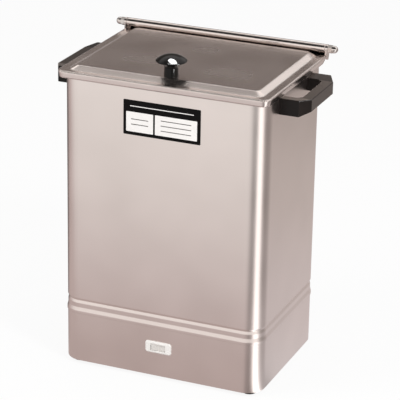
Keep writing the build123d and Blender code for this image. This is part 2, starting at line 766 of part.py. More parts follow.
# Rocker: two faces that meet in a shallow valley over the axis, the right end pressed in
half_throw = radians(rocker_throw / 2)
rocker_face = rocker_axis_in + rocker_out
rocker_half = (rocker_w / 2 - rocker_gap - rocker_face * sin(half_throw)) / cos(half_throw)
rocker_tall = rocker_h - 2 * rocker_gap
with BuildPart() as rocker_blank:
    with BuildSketch(Plane.XY.offset(-rocker_tall / 2)):
        with BuildLine():
            Polyline(
                (-rocker_half, -rocker_face),
                (0, -rocker_axis_in - rocker_valley_out),
                (rocker_half, -rocker_face),
                (rocker_half - rocker_side_draw, rocker_shoulder),
                (rocker_back_half, rocker_back),
                (-rocker_back_half, rocker_back),
                (-rocker_half + rocker_side_draw, rocker_shoulder),
                close=True,
            )
        make_face()
    extrude(amount=rocker_tall)
    with BuildSketch(Plane.XY):
        Circle(rocker_pin_r)
    extrude(amount=rocker_h / 2 + rocker_pin_in, both=True)
with BuildPart() as switch_rocker:
    add(Location((0, axis_y, switch_z), (0, 0, rocker_throw / 2)) * rocker_blank.part)
finish(switch_rocker, "switch_rocker")

# ---------------------------------------------------------------- base plate, feet and their screws
plate_in = sheet + plate_gap
foot_grid = (body_w - 2 * foot_inset, body_d - 2 * foot_inset)
plate_screw_grid = (body_w - skirt_flange_w * 4, body_d - skirt_flange_w)
foot_web = foot_h * 0.4  # rubber left above the recess for the screw head
with BuildPart() as base_plate:
    with BuildSketch(Plane.XY.offset(plate_z)):
        body_outline(-plate_in)
        with GridLocations(*foot_grid, 2, 2):
            Circle(base_screw_r, mode=Mode.SUBTRACT)
        with GridLocations(*plate_screw_grid, 2, 2):
            Circle(base_screw_r, mode=Mode.SUBTRACT)
        with Locations((thermostat_x, 0)):
            Circle(spindle_collar_r, mode=Mode.SUBTRACT)
        # Two groups of cooling slots behind the terminal block
        with Locations((0, body_d / 6), (terminal_x, body_d / 6)):
            with GridLocations(slot_pitch, 0, slot_count, 1):
                SlotOverall(slot_length, slot_w, rotation=90, mode=Mode.SUBTRACT)
    extrude(amount=plate_t)
finish(base_plate, "base_plate")

with BuildPart() as rubber_feet:
    with BuildSketch(Plane.XY):
        with GridLocations(*foot_grid, 2, 2):
            Circle(foot_d / 2)
    extrude(amount=foot_h, taper=-4)
    with BuildSketch(Plane.XY):
        with GridLocations(*foot_grid, 2, 2):
            Circle(base_screw_r)
    extrude(amount=foot_h, mode=Mode.SUBTRACT)
    with BuildSketch(Plane.XY):
        with GridLocations(*foot_grid, 2, 2):
            Circle(base_screw_r * screw_head_ratio + pocket_gap)
    extrude(amount=foot_h - foot_web, mode=Mode.SUBTRACT)
finish(rubber_feet, "rubber_feet")

foot_screw_blank = round_head_screw(base_screw_r, foot_web + sheet + plate_t + screw_through)
with BuildPart() as foot_screws:
    for x in sides:
        for y in sides:
            seat = (x * foot_grid[0] / 2, y * foot_grid[1] / 2, foot_h - foot_web)
            add(Plane(origin=seat, x_dir=(1, 0, 0), z_dir=(0, 0, -1)).location * foot_screw_blank)
finish(foot_screws, "foot_screws")

base_screw_blank = round_head_screw(base_screw_r, sheet + plate_t + screw_through)
with BuildPart() as base_screws:
    for x in sides:
        for y in sides:
            seat = (x * plate_screw_grid[0] / 2, y * plate_screw_grid[1] / 2, skirt_z)
            add(Plane(origin=seat, x_dir=(1, 0, 0), z_dir=(0, 0, -1)).location * base_screw_blank)
finish(base_screws, "base_screws")

# ---------------------------------------------------------------- thermostat
collar_low = plate_top + spindle_neck
collar_top = collar_low + spindle_collar_h
with BuildPart() as thermostat_body:
    with BuildSketch(Plane.XY.offset(plate_top)):
        with Locations((thermostat_x, 0)):
            RectangleRounded(thermostat_w, thermostat_d, 4)
    extrude(amount=thermostat_h)
    fillet(faces().sort_by(Axis.Z)[-1].edges(), 2)
    for radius, low, high in (
        (spindle_r + spindle_fit, plate_top, collar_low),
        (spindle_collar_r + spindle_fit, collar_low, collar_top + spindle_play),
    ):
        with BuildSketch(Plane.XY.offset(low)):
            with Locations((thermostat_x, 0)):
                Circle(radius)
        extrude(amount=high - low, mode=Mode.SUBTRACT)
finish(thermostat_body, "thermostat_body")

with BuildPart() as thermostat_spindle:
    with BuildSketch(Plane.XY.offset(spindle_tip_z)):
        with Locations((thermostat_x, 0)):
            Circle(spindle_r)
    extrude(amount=collar_top - spindle_tip_z)
    with BuildSketch(Plane.XY.offset(collar_low)):
        with Locations((thermostat_x, 0)):
            Circle(spindle_collar_r)
    extrude(amount=spindle_collar_h)
    # Screwdriver slot in the tip
    with BuildSketch(Plane.XY.offset(spindle_tip_z)):
        with Locations((thermostat_x, 0)):
            Rectangle(2 * spindle_r, spindle_slot_w)
    extrude(amount=spindle_slot_h, mode=Mode.SUBTRACT)
finish(thermostat_spindle, "thermostat_spindle")

# ---------------------------------------------------------------- terminal block
with BuildPart() as terminal_block:
    with BuildSketch(Plane.XY.offset(plate_top)):
        with Locations((terminal_x, terminal_y)):
            Rectangle(terminal_w, terminal_d)
    extrude(amount=terminal_h)
    # Wire troughs along both sides leave a raised rib under the screws
    with BuildSketch(Plane.XY.offset(plate_top + terminal_h)):
        for side in sides:
            with Locations((terminal_x, terminal_y + side * (terminal_d - trough_length) / 2)):
                with GridLocations(terminal_pitch, 0, 3, 1):
                    Rectangle(trough_w, trough_length)
    extrude(amount=-trough_h, mode=Mode.SUBTRACT)
    with BuildSketch(Plane.XY.offset(plate_top + terminal_h)):
        with Locations((terminal_x, terminal_y)):
            with GridLocations(terminal_pitch, 0, 3, 1):
                Circle(terminal_screw_r)
    extrude(amount=-terminal_h * 0.5, mode=Mode.SUBTRACT)
finish(terminal_block, "terminal_block")

terminal_screw_blank = round_head_screw(terminal_screw_r, terminal_h * 0.45)
with BuildPart() as terminal_screws:
    for step in (-1, 0, 1):
        seat = (terminal_x + step * terminal_pitch, terminal_y, plate_top + terminal_h)
        add(Location(seat) * terminal_screw_blank)
finish(terminal_screws, "terminal_screws")

# ---------------------------------------------------------------- heating element and its fittings
tail_z = tank_under - element_tail
half_pitch = element_pitch / 2
corner_x = element_leg_x + element_leg_r
end_y = 1.5 * element_pitch
# One tube: up through the floor, four runs with three turns, and down through the floor again
with BuildPart() as heating_element:
    with BuildLine(Plane.XY.offset(element_z)) as element_runs:
        Line((corner_x, -end_y), (element_turn_x, -end_y))
        CenterArc((element_turn_x, -element_pitch), half_pitch, -90, 180)
        Line((element_turn_x, -half_pitch), (element_back_x, -half_pitch))
        CenterArc((element_back_x, 0), half_pitch, -90, -180)
        Line((element_back_x, half_pitch), (element_turn_x, half_pitch))
        CenterArc((element_turn_x, element_pitch), half_pitch, -90, 180)
        Line((element_turn_x, end_y), (corner_x, end_y))
    with BuildSketch(Plane(origin=(corner_x, -end_y, element_z), z_dir=(1, 0, 0))):
        Circle(element_r)
    sweep(path=element_runs.wire())
    for side in sides:
        with BuildLine(Plane.XZ.offset(-side * end_y)) as leg:
            CenterArc((corner_x, element_z - element_leg_r), element_leg_r, 90, 90)
            Line((element_leg_x, element_z - element_leg_r), (element_leg_x, tail_z))
        with BuildSketch(Plane(origin=(corner_x, side * end_y, element_z), z_dir=(-1, 0, 0))):
            Circle(element_r)
        sweep(path=leg.wire())
finish(heating_element, "heating_element")

with BuildPart() as element_pins:
    with BuildSketch(Plane.XY.offset(tail_z)):
        with Locations(*fitting_spots):
            Circle(element_pin_r)
    extrude(amount=-element_pin_length)
finish(element_pins, "element_pins")

with BuildPart() as element_fittings:
    for low, high, outer in (
        (tank_under - fitting_thread_length, tank_floor + gasket_t, fitting_thread_r),
        (tank_floor + gasket_t, tank_floor + gasket_t + fitting_flange_h, fitting_r),
    ):
        with BuildSketch(Plane.XY.offset(low)):
            with Locations(*fitting_spots):
                Circle(outer)
                Circle(element_r, mode=Mode.SUBTRACT)
        extrude(amount=high - low)
finish(element_fittings, "element_fittings")

with BuildPart() as element_gaskets:
    with BuildSketch(Plane.XY.offset(tank_floor)):
        with Locations(*fitting_spots):
            Circle(fitting_r)
            Circle(fitting_thread_r, mode=Mode.SUBTRACT)
    extrude(amount=gasket_t)
finish(element_gaskets, "element_gaskets")

with BuildPart() as element_nuts:
    with BuildSketch(Plane.XY.offset(tank_under)):
        with Locations(*fitting_spots):
            RegularPolygon(fitting_r, 6, major_radius=False)
            Circle(fitting_thread_r, mode=Mode.SUBTRACT)
    extrude(amount=-fitting_nut_h)
finish(element_nuts, "element_nuts")

# ---------------------------------------------------------------- sensing bulb, capillary and gland
bulb_plane = Plane(origin=(bulb_start_x, 0, bulb_z), x_dir=(0, 1, 0), z_dir=(1, 0, 0))
with BuildPart() as sensing_bulb:
    with BuildSketch(bulb_plane):
        Circle(bulb_r)
    extrude(amount=bulb_length)
    fillet(faces().filter_by(GeomType.PLANE).edges(), bulb_r * 0.4)
finish(sensing_bulb, "sensing_bulb")

with BuildPart() as bulb_straps:
    with BuildSketch(Plane.XY.offset(element_top)):
        with Locations((bulb_start_x + strap_in, 0), (bulb_start_x + bulb_length - strap_in, 0)):
            Rectangle(strap_w, element_pitch + 2 * element_r)
    extrude(amount=strap_t)
finish(bulb_straps, "bulb_straps")

with BuildPart() as capillary_gland:
    with BuildSketch(Plane.XY.offset(tank_under - fitting_nut_h)):
        with Locations((gland_x, 0)):
            Circle(gland_r)
            Circle(capillary_r, mode=Mode.SUBTRACT)
    extrude(amount=fitting_nut_h + sheet)
    with BuildSketch(Plane.XY.offset(tank_floor)):
        with Locations((gland_x, 0)):
            RegularPolygon(gland_hex, 6, major_radius=False)
            Circle(capillary_r, mode=Mode.SUBTRACT)
    extrude(amount=gland_head_h)
finish(capillary_gland, "capillary_gland")

with BuildPart() as gland_nut:
    with BuildSketch(Plane.XY.offset(tank_under)):
        with Locations((gland_x, 0)):
            RegularPolygon(gland_hex, 6, major_radius=False)
            Circle(gland_r, mode=Mode.SUBTRACT)
    extrude(amount=-gland_nut_h)
finish(gland_nut, "gland_nut")

with BuildPart() as capillary:
    with BuildLine(Plane.XZ) as capillary_path:
        FilletPolyline(
            (bulb_start_x, bulb_z),
            (gland_x, bulb_z),
            (gland_x, capillary_run_z),
            (thermostat_x, capillary_run_z),
            (thermostat_x, plate_top + thermostat_h),
            radius=capillary_bend,
        )
    with BuildSketch(Plane(origin=(bulb_start_x, 0, bulb_z), z_dir=(-1, 0, 0))):
        Circle(capillary_r)
    sweep(path=capillary_path.wire())
finish(capillary, "capillary")

with BuildPart() as limit_cutout:
    with BuildSketch(Plane.XY.offset(tank_under)):
        with Locations((cutout_x, -end_y)):
            Circle(cutout_r)
    extrude(amount=-cutout_h)
    with BuildSketch(Plane.XY.offset(tank_under - cutout_h)):
        with Locations((cutout_x - cutout_r / 2, -end_y), (cutout_x + cutout_r / 2, -end_y)):
            Rectangle(blade_t, blade_w)
    extrude(amount=-blade_length)
finish(limit_cutout, "limit_cutout")

# ---------------------------------------------------------------- leads between the electrical parts
wire_z = plate_top + terminal_h - trough_h + lead_r
wire_y = terminal_y - terminal_d / 2 + trough_length
pin_z = tail_z - element_pin_length
tab_z = tank_under - cutout_h - blade_length
blade_y = front_y + switch_body_length + blade_length
lead_runs = {
    "lead_terminal_to_switch": [
        (terminal_x - terminal_pitch, wire_y, wire_z),
        (terminal_x - terminal_pitch, blade_y + lead_front, wire_z),
        (terminal_x - terminal_pitch, blade_y + lead_front, switch_z),
        (-blade_pitch, blade_y + lead_front, switch_z),
        (-blade_pitch, blade_y, switch_z),
    ],
    "lead_switch_to_thermostat": [
        (blade_pitch, blade_y, switch_z),
        (blade_pitch, blade_y + lead_back, switch_z),
        (thermostat_x - lead_side, blade_y + lead_back, switch_z),
        (thermostat_x - lead_side, -lead_side, switch_z),
        (thermostat_x - lead_side, -lead_side, plate_top + thermostat_h),
    ],
    "lead_thermostat_to_cutout": [
        (thermostat_x + lead_side, -lead_side, plate_top + thermostat_h),
        (thermostat_x + lead_side, -lead_side, tab_z - lead_drop),
        (cutout_x + cutout_r / 2, -lead_side, tab_z - lead_drop),
        (cutout_x + cutout_r / 2, -end_y, tab_z - lead_drop),
        (cutout_x + cutout_r / 2, -end_y, tab_z),
    ],
    "lead_cutout_to_element": [
        (cutout_x - cutout_r / 2, -end_y, tab_z),
        (cutout_x - cutout_r / 2, -end_y, tab_z - lead_drop),
        (element_leg_x, -end_y, tab_z - lead_drop),
        (element_leg_x, -end_y, pin_z),
    ],
    "lead_element_to_terminal": [
        (element_leg_x, end_y, pin_z),
        (element_leg_x, end_y, capillary_run_z + lead_rise),
        (terminal_x + lead_loop, end_y, capillary_run_z + lead_rise),
        (terminal_x + lead_loop, wire_y - lead_out_long, capillary_run_z + lead_rise),
        (terminal_x + lead_loop, wire_y - lead_out_long, wire_z),
        (terminal_x + terminal_pitch, wire_y - lead_out_long, wire_z),
        (terminal_x + terminal_pitch, wire_y, wire_z),
    ],
    "lead_earth": [
        (terminal_x, wire_y, wire_z),
        (terminal_x, wire_y - lead_out_short, wire_z),
        (terminal_x, wire_y - lead_out_short, plate_top),
    ],
}
for name, points in lead_runs.items():
    first = Vector(*points[0])
    with BuildPart() as lead:
        with BuildLine() as lead_path:
            FilletPolyline(*points, radius=lead_bend)
        with BuildSketch(Plane(origin=first, z_dir=Vector(*points[1]) - first)):
            Circle(lead_r)
        sweep(path=lead_path.wire())
    finish(lead, name)

# ---------------------------------------------------------------- cord inlet
inlet_plane = Plane(origin=(inlet_x, wall_y, inlet_z), x_dir=(-1, 0, 0), z_dir=(0, 1, 0))
with BuildPart() as cord_inlet:
    for low, high, outer in (
        (-sheet - inlet_in, -sheet, inlet_hole_r + 1.0),
        (-sheet, 0, inlet_hole_r),
        (0, inlet_out * 0.45, inlet_flange_r),
    ):
        with BuildSketch(inlet_plane.offset(low)):
            Circle(outer)
        extrude(amount=high - low)
    with BuildSketch(inlet_plane.offset(inlet_out * 0.45)):
        Circle(inlet_hole_r - 0.5)
    extrude(amount=inlet_out * 0.55, taper=12)
    with BuildSketch(inlet_plane.offset(-sheet - inlet_in)):
        Circle(inlet_bore_r)
    extrude(amount=sheet + inlet_in + inlet_out, mode=Mode.SUBTRACT)
finish(cord_inlet, "cord_inlet")

# ---------------------------------------------------------------- pack rack
rack_foot_z = tank_floor + rack_gap
loop_ys = [loop_half_d * (2 * i / (loop_count - 1) - 1) for i in range(loop_count)]
with BuildPart() as rack_loops:
    for y in loop_ys:
        with BuildLine(Plane.XZ.offset(-y)) as loop_path:
            FilletPolyline(
                (-loop_half_w, rack_foot_z),
                (-loop_half_w, loop_top - wire_r),
                (loop_half_w, loop_top - wire_r),
                (loop_half_w, rack_foot_z),
                radius=loop_corner_r,
            )
        with BuildSketch(Plane.XY.offset(rack_foot_z)):
            with Locations((-loop_half_w, y)):
                Circle(wire_r)
        sweep(path=loop_path.wire())
finish(rack_loops, "rack_loops")

# Floor grid: long thin wires on cross wires that meet the loops' legs
cross_x = loop_half_w - wire_r - thin_wire_r
cross_z = tank_floor + rack_floor_up
cross_half = loop_ys[-1] + wire_r
floor_ys = [loop_half_d * (2 * i / (floor_count - 1) - 1) for i in range(floor_count)]
with BuildPart() as rack_floor:
    with BuildSketch(Plane.XZ):
        with Locations(*[(x, cross_z) for x in (-cross_x, -cross_x / 3, cross_x / 3, cross_x)]):
            Circle(thin_wire_r)
    extrude(amount=cross_half, both=True)
    for y in floor_ys:
        with BuildSketch(Plane(origin=(0, y, cross_z + 2 * thin_wire_r), x_dir=(0, 1, 0), z_dir=(1, 0, 0))):
            Circle(thin_wire_r)
        extrude(amount=cross_x + thin_wire_r, both=True)
finish(rack_floor, "rack_floor")

tie_x = loop_half_w + wire_r + thin_wire_r
tie_zs = [tank_floor + share * (loop_top - tank_floor) for share in tie_shares]
with BuildPart() as rack_ties:
    with BuildSketch(Plane.XZ):
        with Locations(*[(side * tie_x, z) for side in sides for z in tie_zs]):
            Circle(thin_wire_r)
    extrude(amount=cross_half, both=True)
finish(rack_ties, "rack_ties")
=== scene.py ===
"""Looks for the hot pack heater: sheet steel, black phenolic, white mouldings and the front plate."""

import json
import math

import bmesh
import bpy
from mathutils import Matrix, Vector


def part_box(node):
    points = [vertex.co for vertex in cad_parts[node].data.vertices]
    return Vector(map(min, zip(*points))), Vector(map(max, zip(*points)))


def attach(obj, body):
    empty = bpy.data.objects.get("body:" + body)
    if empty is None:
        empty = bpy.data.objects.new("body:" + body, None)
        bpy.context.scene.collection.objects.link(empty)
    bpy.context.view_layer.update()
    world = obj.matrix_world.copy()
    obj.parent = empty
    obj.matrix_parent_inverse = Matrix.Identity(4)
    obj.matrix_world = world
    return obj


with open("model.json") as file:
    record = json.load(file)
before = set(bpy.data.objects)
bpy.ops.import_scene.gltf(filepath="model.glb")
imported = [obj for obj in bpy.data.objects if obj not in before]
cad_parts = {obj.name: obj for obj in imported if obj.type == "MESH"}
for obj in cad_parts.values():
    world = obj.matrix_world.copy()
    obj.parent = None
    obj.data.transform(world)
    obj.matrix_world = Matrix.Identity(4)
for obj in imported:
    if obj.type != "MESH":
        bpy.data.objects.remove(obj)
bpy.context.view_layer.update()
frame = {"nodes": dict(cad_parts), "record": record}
nodes = frame["nodes"]

MM = 0.001


# ---------------------------------------------------------------- small helpers
def linear(red, green, blue):
    """A display colour, 0 to 255, as linear light."""
    out = []
    for value in (red, green, blue):
        share = value / 255
        out.append(share / 12.92 if share <= 0.04045 else ((share + 0.055) / 1.055) ** 2.4)
    return (*out, 1.0)


def direction(azimuth, elevation):
    """A unit vector out from the heater, by radians round it from -Y towards +X and radians up."""
    level = math.cos(elevation)
    return Vector((math.sin(azimuth) * level, -math.cos(azimuth) * level, math.sin(elevation)))


class Shader:
    """A node material with short calls for the few nodes that the finishes here share."""

    def __init__(self, name):
        self.material = bpy.data.materials.new(name)
        self.material.use_nodes = True
        self.tree = self.material.node_tree
        self.bsdf = self.tree.nodes["Principled BSDF"]
        self.place = self.tree.nodes.new("ShaderNodeTexCoord").outputs["Object"]

    def new(self, kind, **values):
        """A node with its settings made."""
        node = self.tree.nodes.new(kind)
        for key, value in values.items():
            setattr(node, key, value)
        return node

    def link(self, source, socket):
        self.tree.links.new(source, socket)

    def noise(self, scale, stretch=(1, 1, 1), detail=3.0, rough=0.5):
        """Noise with about scale features per metre, times a stretch along each axis."""
        mapping = self.new("ShaderNodeMapping")
        mapping.inputs["Scale"].default_value = [scale * factor for factor in stretch]
        self.link(self.place, mapping.inputs["Vector"])
        noise = self.new("ShaderNodeTexNoise")
        noise.inputs["Scale"].default_value = 1.0
        noise.inputs["Detail"].default_value = detail
        noise.inputs["Roughness"].default_value = rough
        self.link(mapping.outputs["Vector"], noise.inputs["Vector"])
        return noise.outputs["Fac"]

    def spread(self, value, low, high, start=0.25, end=0.75):
        """A value between start and end, which noise mostly keeps to, spread from low to high."""
        remap = self.new("ShaderNodeMapRange")
        remap.inputs["From Min"].default_value = start
        remap.inputs["From Max"].default_value = end
        remap.inputs["To Min"].default_value = low
        remap.inputs["To Max"].default_value = high
        self.link(value, remap.inputs["Value"])
        return remap.outputs["Result"]

    def math(self, operation, first, second):
        node = self.new("ShaderNodeMath", operation=operation)
        self.link(first, node.inputs[0])
        self.link(second, node.inputs[1])
        return node.outputs[0]

    def tint(self, value, dark, light):
        """A base colour that goes from dark to light with a value."""
        mix = self.new("ShaderNodeMix", data_type="RGBA")
        mix.inputs["A"].default_value = dark
        mix.inputs["B"].default_value = light
        self.link(self.spread(value, 0.0, 1.0), mix.inputs["Factor"])
        self.link(mix.outputs["Result"], self.bsdf.inputs["Base Color"])

    def rough(self, value):
        self.link(value, self.bsdf.inputs["Roughness"])

    def bump(self, *layers, edge=0.0):
        """Bump layers, each a value with a height in metres, on edges that look rounded by a radius."""
        before = None
        if edge:
            bevel = self.new("ShaderNodeBevel", samples=8)
            bevel.inputs["Radius"].default_value = edge
            before = bevel.outputs["Normal"]
        for value, height in layers:
            bump = self.new("ShaderNodeBump")
            bump.inputs["Strength"].default_value = 1.0
            bump.inputs["Distance"].default_value = height
            self.link(value, bump.inputs["Height"])
            if before is not None:
                self.link(before, bump.inputs["Normal"])
            before = bump.outputs["Normal"]
        self.link(before, self.bsdf.inputs["Normal"])

    def set(self, **values):
        """Plain numbers and colours on the shader's own sockets, with _ for a space in their names."""
        for key, value in values.items():
            self.bsdf.inputs[key.replace("_", " ")].default_value = value
        return self


# ---------------------------------------------------------------- materials
# A gloss pair is how far noise moves a surface's roughness down and up
STEEL = (0.90, 0.82, 0.78, 1.0)
STEEL_SMUDGED = (0.83, 0.755, 0.715, 1.0)
GRAIN_ON_WALLS = (9.0, 9.0, 340.0)  # level lines
GRAIN_ON_LID = (9.0, 340.0, 340.0)  # lines from side to side
GRAIN_GLOSS = 0.003
SMUDGES = 14.0  # features per metre
SMUDGE_GLOSS = (-0.02, 0.03)
SHEET_WAVES = 5.0  # features per metre
CURL_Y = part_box("lid")[1].y - 13 * MM  # the curl round the hinge rod lies behind this
CURL_ROUGH = 0.1
SPECK_GLOSS = (-0.04, 0.06)
HANDLED_PATCHES = 25.0  # features per metre
HANDLED_GLOSS = (-0.03, 0.05)
FIBRES = 420.0  # features per metre
FIBRE_STRETCH = (1, 1, 0.12)
FIBRE_HEIGHT = 0.3 * MM
FIBRE_ROUGH = (0.85, 1.0)
CLUMPS = 60.0  # features per metre
CLUMP_HEIGHT = 0.8 * MM
HANDLE_SHEEN = 0.35
HANDLE_SHEEN_TINT = (0.80, 0.66, 0.58, 1.0)


def sheet_steel(name, rough, grain, wave, edge, curl_from=None):
    """Brushed stainless sheet: faint grain along one way, smudges, and slow waves of a height.

    Behind curl_from, a place along Y, it is smoother, as the burnished curl is.
    """
    shader = Shader(name).set(Metallic=1.0)
    lines = shader.noise(1.0, stretch=grain, detail=2.0)
    smudge = shader.noise(SMUDGES, detail=1.0)
    slow = shader.noise(SHEET_WAVES, detail=0.0)
    shader.tint(smudge, STEEL_SMUDGED, STEEL)
    grained = shader.spread(lines, rough - GRAIN_GLOSS, rough + GRAIN_GLOSS)
    gloss = shader.math("ADD", grained, shader.spread(smudge, *SMUDGE_GLOSS))
    if curl_from is not None:
        split = shader.new("ShaderNodeSeparateXYZ")
        shader.link(shader.place, split.inputs[0])
        less = shader.spread(split.outputs["Y"], 0.0, rough - CURL_ROUGH, curl_from, curl_from + MM)
        gloss = shader.math("SUBTRACT", gloss, less)
    shader.rough(gloss)
    shader.bump((slow, wave), edge=edge)
    return shader.material


def plain_metal(name, light, dark, rough, scale=300.0, height=0.004 * MM):
    """Metal of small pieces: fine speckle in colour and gloss."""
    shader = Shader(name).set(Metallic=1.0)
    speck = shader.noise(scale, detail=3.0)
    shader.tint(speck, linear(*dark), linear(*light))
    shader.rough(shader.spread(speck, rough + SPECK_GLOSS[0], rough + SPECK_GLOSS[1]))
    shader.bump((speck, height))
    return shader.material


def moulded(name, light, dark, rough, scale=500.0, height=0.006 * MM, specular=0.5, edge=0.25 * MM):
    """Moulded plastic, rubber and lacquer: a little orange peel and handled, duller patches."""
    shader = Shader(name).set(Specular_IOR_Level=specular)
    peel = shader.noise(scale, detail=2.0)
    patch = shader.noise(HANDLED_PATCHES, detail=4.0, rough=0.6)
    shader.tint(patch, linear(*dark), linear(*light))
    shader.rough(shader.spread(patch, rough + HANDLED_GLOSS[0], rough + HANDLED_GLOSS[1]))
    shader.bump((peel, height), edge=edge)
    return shader.material


def handle_phenolic():
    """The handles' phenolic: duller and browner than the knob's, with a worn surface's sheen."""
    material = moulded("Handle phenolic", (22, 17, 15), (12, 9, 8), 0.32, specular=0.2, edge=0.4 * MM)
    inputs = material.node_tree.nodes["Principled BSDF"].inputs
    inputs["Sheen Weight"].default_value = HANDLE_SHEEN
    inputs["Sheen Roughness"].default_value = HANDLE_SHEEN
    inputs["Sheen Tint"].default_value = HANDLE_SHEEN_TINT
    return material


def woven(name, light, dark):
    """Felted glass fibre of the insulation."""
    shader = Shader(name)
    fibre = shader.noise(FIBRES, stretch=FIBRE_STRETCH, detail=4.0)
    clump = shader.noise(CLUMPS, detail=5.0, rough=0.7)
    shader.tint(clump, linear(*dark), linear(*light))
    shader.rough(shader.spread(fibre, *FIBRE_ROUGH))
    shader.bump((clump, CLUMP_HEIGHT), (fibre, FIBRE_HEIGHT))
    return shader.material


def finishes():
    """One material for each of the part's material slots."""
    return {
        "stainless_body": sheet_steel("Body steel", 0.3, GRAIN_ON_WALLS, wave=0.6 * MM, edge=0.8 * MM),
        "stainless_lid": sheet_steel("Lid steel", 0.25, GRAIN_ON_LID, 0.4 * MM, 3.0 * MM, curl_from=CURL_Y),
        "stainless_tank": sheet_steel("Tank steel", 0.26, GRAIN_ON_WALLS, wave=0.4 * MM, edge=0.4 * MM),
        "bracket_steel": sheet_steel("Bracket steel", 0.16, GRAIN_ON_WALLS, wave=0.2 * MM, edge=0.3 * MM),
        "stainless_wire": plain_metal("Rack wire", (225, 220, 216), (200, 195, 190), 0.16),
        "polished_fasteners": plain_metal("Polished fasteners", (232, 226, 222), (214, 208, 203), 0.1),
        "plated_screws": plain_metal("Plated screws", (205, 203, 200), (180, 177, 172), 0.28),
        "plated_plate": plain_metal("Zinc plate", (190, 192, 194), (160, 162, 166), 0.4, scale=60.0),
        "spindle_steel": plain_metal("Turned steel", (205, 203, 200), (180, 178, 175), 0.25),
        "element_sheath": plain_metal("Element sheath", (150, 140, 134), (112, 102, 96), 0.38, scale=90.0),
        "contact_brass": plain_metal("Brass", (214, 178, 104), (190, 150, 82), 0.25),
        "bulb_copper": plain_metal("Copper", (206, 128, 92), (164, 96, 66), 0.32, scale=120.0),
        "black_phenolic": moulded("Black phenolic", (7, 6, 6), (4, 4, 3), 0.08, specular=0.2),
        "foot_rubber": moulded("Black rubber", (34, 33, 33), (24, 23, 23), 0.75, height=0.02 * MM),
        "white_moulding": moulded("White moulding", (244, 241, 238), (236, 232, 228), 0.3),
        "rocker_moulding": moulded("Rocker moulding", (226, 222, 218), (214, 209, 204), 0.34),
        "thermostat_case": moulded("Thermostat case", (52, 48, 46), (40, 37, 35), 0.5),
        "terminal_moulding": moulded("Terminal moulding", (226, 221, 208), (210, 205, 192), 0.45),
        "lead_insulation": moulded("Lead sleeve", (212, 206, 190), (196, 189, 172), 0.55),
        "lead_insulation_earth": moulded("Earth lead sleeve", (66, 120, 62), (50, 98, 48), 0.5),
        "insulation": woven("Insulation", (226, 212, 160), (196, 180, 128)),
    }


def dress():
    """Gives each node the finish of its slot; the two handles are duller than the knob."""
    by_slot = finishes()
    handles = handle_phenolic()
    for part in frame["record"]["subparts"]:
        finish = by_slot[part["material_slot"]]
        if part["node"].startswith("handle_") and part["material_slot"] == "black_phenolic":
            finish = handles
        for slot in nodes[part["node"]].material_slots:
            slot.material = finish


dress()


# ---------------------------------------------------------------- front plate
# A thin black plate with a light line above two light fields, which hold a few plain rules.
# Spans are from low to high, and a rule has its middle across, its middle up and its width.
WALL_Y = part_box("base_skirt")[0].y
PLATE_X = (-52.0 * MM, 54.5 * MM)
PLATE_Z = (338.0 * MM, 384.5 * MM)
PLATE_R = 1.2 * MM
PLATE_T = 0.5 * MM
FIELDS_X = ((-48.0 * MM, -10.5 * MM), (-8.0 * MM, 50.0 * MM))
FIELD_Z = (342.5 * MM, 369.0 * MM)
FIELD_R = 0.8 * MM
FIELD_T = 0.12 * MM
RULE_H = 1.1 * MM
RULE_R = 0.4 * MM
RULE_T = 0.05 * MM
TOP_RULE = (1.25 * MM, 376.75 * MM, 88.0 * MM)
LEFT_RULES = tuple((-29.25 * MM, z * MM, 24.0 * MM) for z in (359.5, 352.5))
RIGHT_RULES = tuple((21.0 * MM, z * MM, 42.0 * MM) for z in (362.5, 355.75, 349.0))
SLAB_BEVEL = 0.12 * MM  # at most, and a third of a thinner slab
SLAB_LEAST_R = 0.05 * MM
ENAMEL = moulded("Plate enamel", (10, 8, 8), (7, 6, 6), 0.4, specular=0.1)
FIELD_WHITE = moulded("Plate fields", (244, 241, 239), (236, 232, 229), 0.38)
RULE_GREY = moulded("Plate rules", (96, 92, 90), (84, 80, 79), 0.4)


def rounded_outline(width, height, radius, steps=6):
    """Points of a rounded rectangle about the origin, counter-clockwise."""
    points = []
    for turn, (side_x, side_y) in enumerate(((1, 1), (-1, 1), (-1, -1), (1, -1))):
        for step in range(steps + 1):
            angle = math.radians(90 * (turn + step / steps))
            x = side_x * (width / 2 - radius) + radius * math.cos(angle)
            y = side_y * (height / 2 - radius) + radius * math.sin(angle)
            points.append((x, y))
    return points


def front_slab(name, centre, size, radius, y_back, thick, material):
    """A thin rounded slab on a front face, with a small bevel round its own face."""
    y_face = y_back - thick
    bevel = min(SLAB_BEVEL, thick / 3)
    mesh = bmesh.new()
    rings = []
    for y, inset in ((y_back, 0.0), (y_face + bevel, 0.0), (y_face, bevel)):
        corner = max(radius - inset, SLAB_LEAST_R)
        outline = rounded_outline(size[0] - 2 * inset, size[1] - 2 * inset, corner)
        rings.append([mesh.verts.new((centre[0] + x, y, centre[1] + z)) for x, z in outline])
    for low, high in zip(rings, rings[1:]):
        for i in range(len(low)):
            after = (i + 1) % len(low)
            mesh.faces.new((low[i], low[after], high[after], high[i]))
    mesh.faces.new(rings[-1])
    mesh.faces.new(list(reversed(rings[0])))
    bmesh.ops.recalc_face_normals(mesh, faces=mesh.faces)
    data = bpy.data.meshes.new(name)
    mesh.to_mesh(data)
    mesh.free()
    data.materials.append(material)
    piece = bpy.data.objects.new(name, data)
    bpy.context.scene.collection.objects.link(piece)
    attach(piece, "cabinet")


def panel(name, span_x, span_z, radius, y_back, thick, material, slot):
    """A slab that fills two spans."""
    centre = [(low + high) / 2 for low, high in (span_x, span_z)]
    size = [high - low for low, high in (span_x, span_z)]
    front_slab(name, centre, size, radius, y_back, thick, material)


